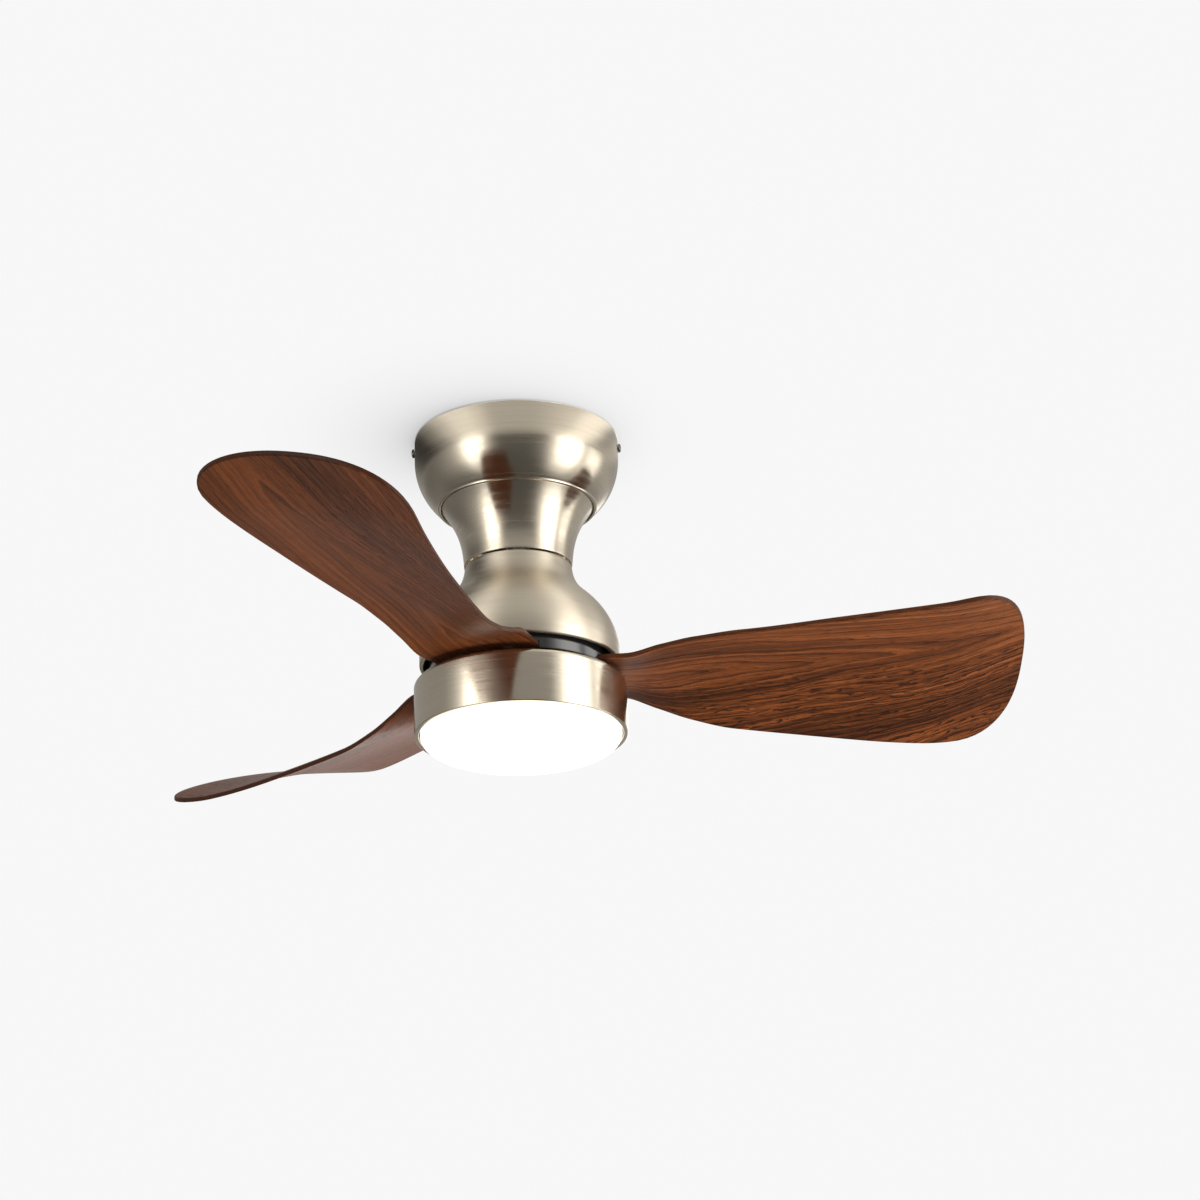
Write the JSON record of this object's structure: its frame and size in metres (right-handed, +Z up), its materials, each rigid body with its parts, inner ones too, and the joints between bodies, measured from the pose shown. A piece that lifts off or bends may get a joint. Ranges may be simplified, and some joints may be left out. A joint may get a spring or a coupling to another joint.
{
  "type": "ceiling fan with light",
  "caption": "Low-profile ceiling fan with a bowl canopy, trumpet neck, motor dome, walnut-finish blades on a spinning hub, and a round lamp with an opal twist-lock diffuser.",
  "frame": {"origin": "centre of the ceiling bracket's top face, in the plane of the ceiling", "axes": "+Z up into the ceiling, the fan hangs along -Z; +X through the two canopy screws; the first blade rests 1.65 degrees past +X"},
  "size_m": [0.7816, 0.8243, 0.293],
  "materials": {
    "nickel": "warm brushed nickel, brushed round the axis",
    "zinc_steel": "zinc-plated steel",
    "bright_steel": "machined steel",
    "black_metal": "black painted die casting",
    "gloss_black": "gloss black painted die casting",
    "black_plastic": "black nylon",
    "walnut": "satin walnut-film blade, dark streaks along its length",
    "opal": "opal acrylic, lit from behind",
    "white_plastic": "white polycarbonate",
    "grey_plastic": "dark grey ABS",
    "white_metal": "white powder-coated steel",
    "white_board": "white solder mask with LED chips",
    "copper_wire": "enamelled copper wire",
    "ferrite": "sintered ferrite",
    "cable": "black cable sheath"
  },
  "bodies": {
    "hanging_frame": {"ceiling_bracket": "zinc_steel", "terminal_block": "white_plastic", "receiver": "grey_plastic", "hanger_ball": "black_plastic", "downrod": "zinc_steel", "ball_pin": "bright_steel", "canopy": "nickel", "canopy_screw_left": "nickel", "canopy_screw_right": "nickel", "neck_cover": "nickel", "motor_dome": "nickel", "dome_carrier": "zinc_steel", "carrier_set_screw": "bright_steel", "dome_screw_1": "bright_steel", "dome_screw_2": "bright_steel", "dome_screw_3": "bright_steel", "motor_yoke": "black_metal", "clevis_pin": "bright_steel", "cotter_pin": "bright_steel", "motor_shaft": "bright_steel", "stator_core": "bright_steel", "stator_winding": "copper_wire", "lamp_housing": "nickel", "lamp_bracket": "zinc_steel", "shaft_nut": "bright_steel", "lamp_screw_1": "bright_steel", "lamp_screw_2": "bright_steel", "lamp_screw_3": "bright_steel", "led_driver": "white_plastic", "led_standoff_1": "zinc_steel", "led_standoff_2": "zinc_steel", "led_standoff_3": "zinc_steel", "led_tray": "white_metal", "led_board": "white_board", "inner_cable": "cable"},
    "rotor": {"rotor_top_cap": "black_metal", "rotor_bottom_cap": "black_metal", "rotor_screw_1": "bright_steel", "rotor_screw_2": "bright_steel", "rotor_screw_3": "bright_steel", "magnet_ring": "ferrite", "upper_bearing": "bright_steel", "lower_bearing": "bright_steel", "blade_hub": "gloss_black", "hub_screw_1": "bright_steel", "hub_screw_2": "bright_steel", "hub_screw_3": "bright_steel", "blade_1": "walnut", "blade_1_screw_1": "bright_steel", "blade_1_screw_2": "bright_steel", "blade_1_screw_3": "bright_steel", "blade_2": "walnut", "blade_2_screw_1": "bright_steel", "blade_2_screw_2": "bright_steel", "blade_2_screw_3": "bright_steel", "blade_3": "walnut", "blade_3_screw_1": "bright_steel", "blade_3_screw_2": "bright_steel", "blade_3_screw_3": "bright_steel"},
    "diffuser_cover": {"diffuser": "opal"}
  },
  "joints": [
    {"name": "rotor_spin", "type": "hinge", "parent": "hanging_frame", "child": "rotor", "pos_m": [0, 0, -0.19], "axis": [0, 0, 1], "continuous": true},
    {"name": "diffuser_twist", "type": "hinge", "parent": "hanging_frame", "child": "diffuser_cover", "pos_m": [0, 0, -0.265], "axis": [0, 0, 1], "range_deg": [-25, 0]}
  ]
}
